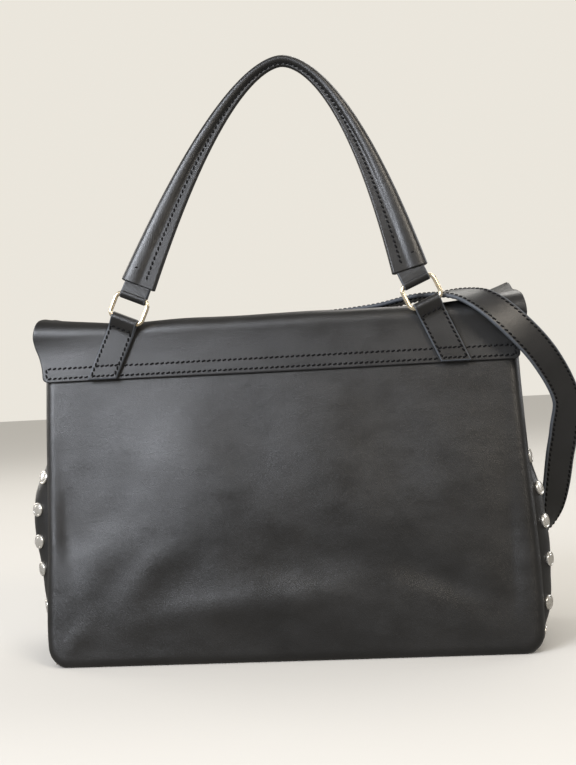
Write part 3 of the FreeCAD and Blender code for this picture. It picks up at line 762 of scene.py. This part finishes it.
def turned_path(points, count):
    """Points at even steps on a smooth curve through the given ones."""
    points = np.asarray(points, float)
    ends = np.concatenate([points[:1] * 2 - points[1:2], points, points[-1:] * 2 - points[-2:-1]])
    found = []
    for k in range(count + 1):
        at = k * (len(points) - 1) / count
        j = min(int(at), len(points) - 2)
        t = at - j
        a, b, c, d = ends[j:j + 4]
        square, cube = (2 * a - 5 * b + 4 * c - d) * t * t, (3 * b - a - 3 * c + d) * t ** 3
        found.append(0.5 * (2 * b + (c - a) * t + square + cube))
    return np.array(found)


def around_bar(middle, out, radius, first, last, count=13):
    """Points of an arc about a bar, as pairs of along and out; angles are from straight on along."""
    turns = np.radians(np.linspace(first, last, count))
    return [(middle + radius * cos(t), out + radius * sin(t)) for t in turns]


def tab_spot(side, along, out, across=0.0):
    """A point in a tab's own frame: along it from its foot, out from the back panel, and across it."""
    x = TAB_FOOT - along * sin(TAB_LEAN) + across * cos(TAB_LEAN)
    return back(side * x, out, TAB_FROM + along * cos(TAB_LEAN) + across * sin(TAB_LEAN))


def foot_at(across, high):
    """How far along a tab a level line at a height crosses it."""
    return (high - TAB_FROM) / cos(TAB_LEAN) - across * tan(TAB_LEAN)


# How far along its tab a ring's bar is, half the ring's length, and how far it stands out from the panel.
BAR = (274.3 - TAB_FROM) / cos(TAB_LEAN)
RING_HALF, RING_OUT = 10.2, 7.0
TAB_LOW, SEW_SIDE = 228.8, 8.7
for name in ("left", "right"):
    side, _ = side_of(name)
    route = [(0, 5.45), (12, 5.45), (24, 5.45), (33, 5.5), (38.5, 6.0), (42.8, 8.3)]
    route += around_bar(BAR, RING_OUT, 3.2, 118, -118)
    route += [(BAR - 5.2, 3.9), (37, 3.5), (24, 3.5), (12, 3.5), (0.5, 3.5)]
    along, out = turned_path(route, 92).T
    steps = np.linspace(-9.9, 9.9, 11)
    share = np.clip(1 - along / 33, 0, 1)
    mid = tab_spot(side, along[:, None] + share[:, None] * foot_at(steps, TAB_LOW)[None], out[:, None],
                   steps[None])
    made = laid(f"tab_{name}_hide", mid, BACK_OUT, 1.85, LOOP)
    settle(made, HINGE, "leather", f"handle_tab_{name}", f"ring_loop_{name}")

    lines = [((foot_at(c, ROW_UPS[0]), c), (39.6, c)) for c in (-SEW_SIDE, SEW_SIDE)]
    lines += [tuple((foot_at(c, high), c) for c in (-SEW_SIDE, SEW_SIDE)) for high in ROW_UPS]
    lines.append(((39.8, -SEW_SIDE), (39.8, SEW_SIDE)))
    runs = []
    for (a, c), (b, d) in lines:
        along = np.linspace(a, b, 24)
        out = np.interp(along, (0, 24, 33, 38.5, 42.8), (6.4, 6.4, 6.45, 6.95, 9.2))
        runs.append((tab_spot(side, along, out, np.linspace(c, d, 24)), BACK_OUT))
    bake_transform(stitches(f"tab_{name}_thread", runs, pitch=3.9))

    foot = tab_spot(side, 0, RING_OUT)
    made = wire(f"ring_{name}_wire", tab_spot(side, BAR + RING_HALF, RING_OUT),
                tab_spot(side, 0, RING_OUT, 1.0) - foot, tab_spot(side, 1, RING_OUT) - foot, 31, 24, 5.2)
    settle(made, "handle", None, f"handle_ring_{name}")

    top = BAR + 2 * RING_HALF
    route = [(top + 15, 8.6), (top + 10, 8.8), (top + 5.5, 9.5)]
    route += around_bar(top, RING_OUT, 3.1, 60, 300, 15)
    route += [(top + 5.5, 4.5), (top + 10, 5.2), (top + 15, 5.4)]
    along, out = turned_path(route, 60).T
    mid = tab_spot(side, along[:, None], out[:, None], np.linspace(-10, 10, 11)[None])
    made = laid(f"chape_{name}_hide", mid, BACK_OUT, 1.7, LOOP)
    settle(made, "handle", "leather", f"handle_chape_{name}")

# ---- the handle

END_ALONG = BAR + 2 * RING_HALF + 10.6
END_OUT = TAB_FOOT - END_ALONG * sin(TAB_LEAN)
END_UP = TAB_FROM + END_ALONG * cos(TAB_LEAN)
RISE, SHIFT, POWER = 176, 14, 1.78


def handle_spot(u, inward=0.0, out=0.0):
    """A point of the handle: u from -1 at its right end to 1, inward to the opening, and out to the back."""
    x = END_OUT * u - SHIFT * (1 - u * u)
    high = END_UP + RISE * (1 - abs(u) ** POWER)
    slope = np.array((END_OUT + 2 * SHIFT * u, -RISE * POWER * abs(u) ** (POWER - 1) * np.sign(u)))
    slope /= np.linalg.norm(slope)
    return back(x + slope[1] * inward, RING_OUT + out, high - slope[0] * inward)


def handle_wide(u):
    return 9.4 + 19.8 * abs(u) ** 1.95


def handle_thick(u, a):
    """Half the handle's thickness at a place across it: a rolled body, and a flat sewn flange inside it."""
    wide = handle_wide(u)
    flange = 2.0 + (0.40 * wide - 2.0) * min(1, abs(u) * 1.6)
    deep = 5.4 - 0.9 * abs(u) ** 1.5
    centre, half = -flange / 2, (wide - flange) / 2
    body = deep * np.clip(1 - np.abs((a - centre) / half) ** (2 + 0.8 * abs(u)), 0, 1) ** 0.5
    rim = (2.3 + 1.35 * abs(u) ** 2.5) * np.clip((wide / 2 - a) / 1.1, 0, 1) ** 0.5
    return np.maximum(body, np.where(a > centre, rim, 0))


rings = []
for u in np.sin(np.linspace(-pi / 2, pi / 2, 120)):
    a = -handle_wide(u) / 2 * np.cos(np.linspace(0, pi, 30))
    half = handle_thick(u, a)
    half[-1] = 0
    a[-1] -= 0.7
    ring = [handle_spot(u, p, q) for p, q in zip(a, half)]
    rings.append(ring + [handle_spot(u, p, -q) for p, q in zip(a[-2:0:-1], half[-2:0:-1])])
rings = np.array(rings)
for end, way in ((0, 1), (-1, -1)):
    centre = rings[end].mean(axis=0)
    ahead = unit(centre - rings[end + way].mean(axis=0))
    lips = np.array([centre + (rings[end] - centre) * share + ahead * far
                     for share, far in ((0.97, 0.5), (0.9, 0.8), (0.8, 0.7))])
    rings = np.concatenate([lips[::-1], rings] if end == 0 else [rings, lips])
settle(skin("handle_cover_hide", rings[:, ::-1], [HIDE]), "handle", "leather", "handle_cover")


def seam_spot(u, a, way):
    """A point on the handle's skin, on its back face where way is 1 and on its front face where it is -1."""
    return handle_spot(u, a, way * handle_thick(u, np.array(a)))


runs = []
for way in (1, -1):
    line = [seam_spot(u, handle_wide(u) * (0.5 - 0.31 * min(1, 0.75 + abs(u))), way)
            for u in np.linspace(-0.985, 0.985, 120)]
    runs.append((line, BACK_OUT * way))
    runs += [([seam_spot(u, a, way) for a in (-12.6, -3.8)], BACK_OUT * way) for u in (0.965, -0.965)]
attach(stitches("handle_thread", runs), "handle")

# ---- the shoulder strap

# The strap's rings stand up and out from a bar on their tabs.
BAR_OUT, BAR_UP, TILT = 198.3, 40, radians(12)
RING_REACH = 16.4
STRAP_WIDE, STRAP_SEW = 25, 9.7


def ring_spot(side, along, out=0.0, across=0.0):
    """A point in a strap ring's own frame, along it from its bar, out from the bag and across it."""
    x = side * (BAR_OUT + along * sin(TILT) + out * cos(TILT))
    z = BAR_UP + along * cos(TILT) - out * sin(TILT)
    return np.stack(np.broadcast_arrays(x, across, z), axis=-1)


# The strap's route from the right ring to the left one: a point and the direction that its face looks.
TOP = 272.9
STRAP = [
    (*ring_spot(-1, RING_REACH + 22.6), -0.98, 0, -0.2),
    (-211.5, 3, 90, -0.85, 0.52, 0.1), (-216, 7, 105, -0.6, 0.8, 0.05), (-219.5, 12, 125, -0.4, 0.92, 0),
    (-222, 20, 147, -0.33, 0.94, 0.05), (-225, 28, 168, -0.3, 0.94, 0.1), (-226, 40, 195, -0.3, 0.93, 0.2),
    (-210, 56, 226, -0.2, 0.95, 0.25), (-188, 65, 252, -0.1, 0.9, 0.4), (-165, 60, 273, 0, 0.7, 0.7),
    (-146, 45, 281, 0, 0.3, 0.95), (-118, 28, 281, 0, 0, 1), (-84, 12, TOP + 3, 0, 0, 1),
    (-45, -2, TOP + 0.6, 0, 0, 1), (0, -14, TOP, 0, 0, 1), (50, -23, TOP, 0, 0, 1),
    (100, -30, TOP, 0, 0, 1), (150, -35, TOP + 0.4, 0, 0, 1), (178, -37, TOP + 2.4, 0.2, 0, 1),
    (196, -39, 274, 0.7, 0, 0.7), (203.5, -41, 256, 1, 0, 0.15), (201.6, -39, 225, 1, 0, 0),
    (200.6, -34, 190, 1, 0, 0), (204, -26, 150, 1, 0, 0), (207, -12, 116, 1, 0, -0.05),
    (208, -2, 94, 1, 0, -0.15), (*ring_spot(1, RING_REACH + 22.6), 0.98, 0, -0.2),
]
LAST, PER = len(STRAP) - 1, 9
rows = turned_path(STRAP, PER * LAST)
line = rows[:, :3]
ahead = unit(np.gradient(line, axis=0))
across = unit(np.cross(ahead, rows[:, 3:]))
steps = np.linspace(-(STRAP_WIDE - 3) / 2, (STRAP_WIDE - 3) / 2, 9)
strap = line[:, None] + across[:, None] * steps[None, :, None]
strap_out = unit(np.cross(across, ahead))
strap_face = np.repeat(strap_out[:, None], len(steps), axis=1)
strap_flat = lengths(strap)
RIGHT_SWING = dict(a="strap_ring_right", b="bag", start=ring_spot(-1, RING_REACH + 20) * MM,
                   end=(-0.2255, 0.020, 0.145))
LEFT_SWING = dict(a="strap_ring_left", b="bag", start=ring_spot(1, RING_REACH + 20) * MM,
                  end=(0.204, -0.024, 0.145))
RIGHT_CLIMB = dict(a="bag", b="flap", start=(-0.2285, 0.028, 0.170), end=(-0.100, 0.020, 0.277))
LEFT_FALL = dict(a="flap", b="bag", start=(0.200, -0.039, 0.266), end=(0.204, -0.027, 0.155))
for label, first, last, on in (("right_end", 0, 4, RIGHT_SWING), ("bow", 4, 5, "bag"),
                               ("climb", 5, 12, RIGHT_CLIMB), ("over_flap", 12, 18, "flap"),
                               ("fall", 18, 23, LEFT_FALL), ("left_end", 23, LAST, LEFT_SWING)):
    part = slice(first * PER, last * PER + 1)
    cut = ("" if first == 0 else "b") + ("" if last == LAST else "t")
    made = sheet(f"strap_{label}_hide", strap[part], 3.2, [STRAP_HIDE, EDGE, STRAP_HIDE], cut,
                 strap_face[part], strap_flat[part])
    out = strap_out[part]
    runs = [(line[part] + across[part] * place + out * way * 1.6, out * way)
            for way in (1, -1) for place in (-STRAP_SEW, STRAP_SEW)]
    for piece in (made, stitches(f"strap_{label}_thread", runs)):
        settle(piece, on, "strap_leather")
    if label == "bow":
        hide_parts("shoulder_strap")

for name in ("left", "right"):
    side, _ = side_of(name)
    body = f"strap_ring_{name}"
    up = ring_spot(side, 1) - ring_spot(side, 0)
    out_way = ring_spot(side, 0, 1) - ring_spot(side, 0)
    made = wire(f"strap_ring_{name}_wire", ring_spot(side, RING_REACH / 2), (0, 1, 0), up, 35, 20, 4.6)
    settle(made, body, None, f"strap_ring_{name}")

    route = [(24, 2.2), (14, 2.3), (7, 2.8)] + around_bar(0, 0, 3.7, 58, 302, 15)
    route += [(7, -2.8), (14, -2.3), (24, -2.2)]
    along, out = turned_path(route, 64).T
    steps = np.linspace(-STRAP_WIDE / 2 + 1.5, STRAP_WIDE / 2 - 1.5, 9)
    mid = ring_spot(side, RING_REACH + along[:, None], out[:, None], steps[None])
    made = laid(f"strap_end_{name}_hide", mid, out_way, 3.0, STRAP_LOOP)
    settle(made, body, "strap_leather", f"strap_end_{name}")
    caps = [(ring_spot(side, RING_REACH + 15, way * 3.6), out_way * way) for way in (1, -1)]
    settle(rivets(f"strap_rivet_{name}_caps", caps, 3.6, 1.4), body, None, f"strap_rivet_{name}")
    runs = []
    for way in (1, -1):
        lines = [[(a, 3.75, c) for a in (8, 23)] for c in (-STRAP_SEW, STRAP_SEW)]
        lines.append([(7.4, 3.9, c) for c in (-STRAP_SEW, STRAP_SEW)])
        for ends in lines:
            runs.append(([ring_spot(side, RING_REACH + a, way * o, c) for a, o, c in ends], out_way * way))
    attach(stitches(f"strap_end_{name}_thread", runs), body)

    route = [(-20, 1.35), (-14, 1.4), (-8, 1.6)] + around_bar(0, 0, 3.1, 120, -120)
    route += [(-8, -0.9), (-14, -0.7), (-20, -0.6)]
    drop, out = turned_path(route, 56).T
    lay = -0.7 * np.clip(-drop / 8, 0, 1)[:, None]
    mid = np.stack(np.broadcast_arrays(side * (BAR_OUT + lay + out[:, None]), np.linspace(-9, 9, 9)[None],
                                       BAR_UP + drop[:, None]), axis=-1)
    made = laid(f"strap_tab_{name}_hide", mid, (side, 0, 0), 1.7, STRAP_LOOP)
    settle(made, "bag", "strap_leather", f"strap_tab_{name}")
    caps = [((side * (BAR_OUT + 1.4), dy, BAR_UP - 13.5), (side, 0, 0)) for dy in (-4.6, 4.6)]
    settle(rivets(f"tab_rivets_{name}_caps", caps, 3.0, 1.2), "bag", None, f"tab_rivets_{name}")

# ---- the turn lock

LOCK = 128
KNOB_OUT = 6.7


def oval(wide, tall, count=48, power=2.6):
    """Points round a soft-cornered oval, closed on its first point."""
    turns = np.linspace(0, 2 * pi, count + 1)
    across, up = np.cos(turns), np.sin(turns)
    return np.stack([wide * np.sign(across) * np.abs(across) ** (2 / power),
                     tall * np.sign(up) * np.abs(up) ** (2 / power)], axis=1)


def between(inner, outer, count):
    """Outlines at even steps from an inner one to an outer one."""
    shares = np.linspace(0, 1, count)[:, None, None]
    return inner[None] * (1 - shares) + outer[None] * shares


def fitting(name, out, inner, outer, thick, swell):
    """A pressed metal plate on the front, between an inner and an outer outline."""
    flat = between(inner, outer, 7)
    lift = swell * (1 - np.linspace(0, 1, 7)[:, None] ** 2)
    mid = front(flat[..., 0], out + thick / 2 + lift, LOCK + flat[..., 1])
    return laid(name, mid, FRONT_OUT, thick, PLATE, "lr")


def block(name, spot, outline, levels):
    """A solid piece of metal: an outline drawn at each level's size and height."""
    rings = [[spot(a, out, b) for a, b in outline(size)[:-1]] for size, out in levels]
    return skin(name, np.array(rings), [GOLD])


made = fitting("lock_eyelet_plate", 4.5, oval(4.7, 12.2), oval(14.2, 19.2), 1.3, 0.5)
settle(made, "flap_drop", "metal", "lock_eyelet")
made = rivets("eyelet_rivet_caps", [(front(0, 5.7, LOCK + dz), FRONT_OUT) for dz in (-15.7, 15.7)], 1.8, 0.9)
settle(made, "flap_drop", None, "eyelet_rivets")
made = fitting("lock_base_plate", 0.1, oval(0.4, 0.4), oval(12.6, 18.6), 0.7, 0.2)
settle(made, "bag", "metal", "lock_plate")
made = block("lock_post", lambda a, out, b: front(a, out, LOCK + b), lambda size: oval(size, size, 28, 2),
             ((4.4, 0.6), (3.8, 1.3), (3.7, 5.6), (3.3, 6.3)))
settle(made, "bag")
made = block("lock_turn_bar", lambda a, out, b: front(a, KNOB_OUT + 1.8 + out, LOCK + b),
             lambda size: oval(2.75 * size, 8.6 - 2.75 * (1 - size), 36, 3),
             ((0.8, -1.75), (0.95, -1.5), (1, -1.0), (1, 0.7), (0.93, 1.4), (0.75, 1.8)))
settle(made, "lock_knob", None, "lock_knob")

# ---- the inside

# The body lining is one closed loop at each height: the left gusset, the front, the right gusset, the back.
rows = []
v = np.linspace(0.94, -0.94, 25)
u = np.linspace(-1, 1, 41)[1:-1]
share = ((u + 1) / 2)[:, None]
slack = 1.2 * np.minimum(1, (1 - np.abs(u)) * 8)
for high in np.concatenate([[5.6, 9, 14], np.linspace(22, 254, 40)]):
    height = np.array(high)
    sides = []
    for name in ("left", "right"):
        side, which = side_of(name)
        half = curve(height, HALF[which]) - 4.6 - max(0, 12 - high) * 0.6
        x = side * (half + bulge(height, np.abs(v), which))
        sides.append(np.stack([x, v * (deep_at(high) - 5.0), v * 0 + high], axis=1))
    left_side, right_side = sides[0], sides[1][::-1]
    near_front = left_side[-1] * (1 - share) + right_side[0] * share
    near_back = right_side[-1] * (1 - share) + left_side[0] * share
    near_front[:, 1] -= slack
    near_back[:, 1] += slack
    rows.append(np.concatenate([left_side, near_front, right_side, near_back, left_side[:1]]))
mid = np.array(rows)
mid[..., :2] *= 1 + 0.002 * cloud(mid, 30, 9.0)[..., None]
mid[:, -1] = mid[:, 0]
face = normals(mid)
if face[20, 10, 0] > 0:
    mid, face = mid[:, ::-1], -face[:, ::-1]
settle(sheet("lining_cloth", mid, 1.0, CLOTH, "lr", normal=face), "bag", "lining", "lining")
x, y = np.meshgrid(np.linspace(-184, 184, 50), np.linspace(-68, 68, 20))
mid = np.stack([x, y, 5.9 + 0.5 * cloud(np.stack([x, y, x * 0], axis=-1), 40, 1.0)], axis=-1)
settle(sheet("lining_floor_cloth", mid, 0.9, CLOTH), "bag", "lining")


def pocket_spot(x, high, out=0.0):
    """A point on the inner pocket, which bellies a little off the back panel's inside."""
    return back(x, -5.5 - out - 0.5 * np.cos(x / 46), high)


x, high = np.meshgrid(np.linspace(-109, 109, 46), np.linspace(71, 199, 28))
mid = pocket_spot(x, high)
settle(laid("pocket_cloth", mid, -BACK_OUT, 0.9, CLOTH), "bag", "lining", "pocket_panel")
x, high = np.meshgrid(np.linspace(-91, 91, 30), np.linspace(180.5, 195.5, 7))
mid = back(x, -6.6, high)
settle(laid("zip_tape_cloth", mid, -BACK_OUT, 0.6, CLOTH), "bag", "lining", "zip_tape")

ZIP_UP, ZIP_PITCH, SLIDER_AT = 188, 1.6, -80
tooth = oval_rings([(-1.3, 0.3, 0.3, 0), (-1.1, 0.55, 0.5, 0), (0.6, 0.5, 0.5, 0), (1.2, 0.62, 0.55, 0),
                    (1.35, 0.3, 0.3, 0)])
frames = []
for k in range(-55, 56):
    way = 1 if k % 2 else -1
    at = back(k * ZIP_PITCH, -7.3, ZIP_UP + way * 0.5)
    frames.append((at, np.array((0, -IN, UP)) * way, np.array((1, 0, 0)), -BACK_OUT))
settle(copies("zip_teeth_rows", tooth, frames, [GOLD]), "bag", "metal", "zip_teeth")
made = block("zip_slider_body", lambda a, out, b: back(SLIDER_AT + a, -9.4 + out, ZIP_UP - 0.5 + b),
             lambda size: oval(4.2 * size, 4.6 * size, 28, 3), ((0.8, 1), (1, 0.6), (1, -0.6), (0.8, -1)))
settle(made, "zip_slider", None, "zip_slider")
flat = between(oval(1.2, 2.6, 32) + (0, 10), oval(3.3, 14, 32), 5)
mid = back(SLIDER_AT + flat[..., 0], -11.3, ZIP_UP - 14 + flat[..., 1])
settle(laid("zip_pull_plate", mid, -BACK_OUT, 1.2, PLATE, "lr"), "zip_slider", "metal", "zip_pull")
pocket = ((-107, 73), (107, 73), (-107, 197), (107, 197))
runs = []
for first, last in ((0, 1), (0, 2), (1, 3)):
    x, high = np.linspace(pocket[first], pocket[last], 40).T
    runs.append((pocket_spot(x, high, 0.5), -BACK_OUT))
settle(stitches("pocket_thread", runs, pitch=3.2), "bag", "lining")

# The CAD nodes that keep their own meshes.
for label, material in (("base_board", BOARD), ("handle_core", BOARD), ("lock_backing", GOLD)):
    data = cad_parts[label].data
    data.materials.clear()
    data.materials.append(material)

# ---- floor and light

WIDE = 9000
grey = Shader("floor", roughness=0.95, Base_Color=(0.49, 0.478, 0.458, 1), Specular_IOR_Level=0.1).made
floor = mesh_piece("floor", [(-WIDE, -WIDE, 0), (WIDE, -WIDE, 0), (WIDE, WIDE, 0), (-WIDE, WIDE, 0)],
                   [[0, 1, 2, 3]], [grey])
floor.visible_glossy = False

# The studio is pale to the camera and dimmer where it is mirrored; its strength changes by kind of ray.
world = bpy.data.worlds.new("studio")
world.use_nodes = True
nodes, links = world.node_tree.nodes, world.node_tree.links
sky = nodes["Background"]
sky.inputs["Color"].default_value = (0.90, 0.86, 0.78, 1)
path = nodes.new("ShaderNodeLightPath")
strength = 0.58
for ray, more in (("Is Camera Ray", 0.34), ("Is Glossy Ray", -0.37)):
    step = nodes.new("ShaderNodeMath")
    step.operation = "MULTIPLY_ADD"
    links.new(path.outputs[ray], step.inputs[0])
    step.inputs[1].default_value = more
    if isinstance(strength, float):
        step.inputs[2].default_value = strength
    else:
        links.new(strength, step.inputs[2])
    strength = step.outputs["Value"]
links.new(strength, sky.inputs["Strength"])
scene.world = world
scene.view_settings.view_transform = "Standard"


def lamp(name, kind, at, aim, power, colour, size=(1, 1)):
    """A lamp aimed at a point. The sun is soft, and isn't mirrored."""
    light = bpy.data.lights.new(name, kind)
    light.energy = power
    light.color = colour
    if kind == "AREA":
        light.shape = "RECTANGLE"
        light.size, light.size_y = size
    else:
        light.angle = radians(55)
    made = bpy.data.objects.new(name, light)
    made.location = at
    made.rotation_euler = (Vector(aim) - Vector(at)).to_track_quat("-Z", "Y").to_euler()
    made.visible_glossy = kind == "AREA"
    scene.collection.objects.link(made)


lamp("overhead", "SUN", (0.3, 0.5, 2.0), (0, 0, 0), 1.5, (1.0, 0.98, 0.94))
lamp("window", "AREA", (1.40, 1.85, 1.35), (0, 0, 0.2), 70, (0.88, 0.92, 1.0), (1.1, 1.1))
lamp("room", "AREA", (-1.25, 1.85, 1.7), (0, 0, 0.2), 27, (1.0, 0.91, 0.78), (0.8, 0.8))
lamp("front", "AREA", (-0.7, -1.6, 2.2), (0, 0, 0.2), 22, (1.0, 0.97, 0.92), (1.6, 1.3))
lamp("left_side", "AREA", (2.1, -1.1, 1.0), (0, 0, 0.2), 16, (1.0, 0.97, 0.92), (1.1, 1.1))
lamp("right_side", "AREA", (-2.1, -1.1, 1.0), (0, 0, 0.2), 13, (0.94, 0.96, 1.0), (1.1, 1.1))
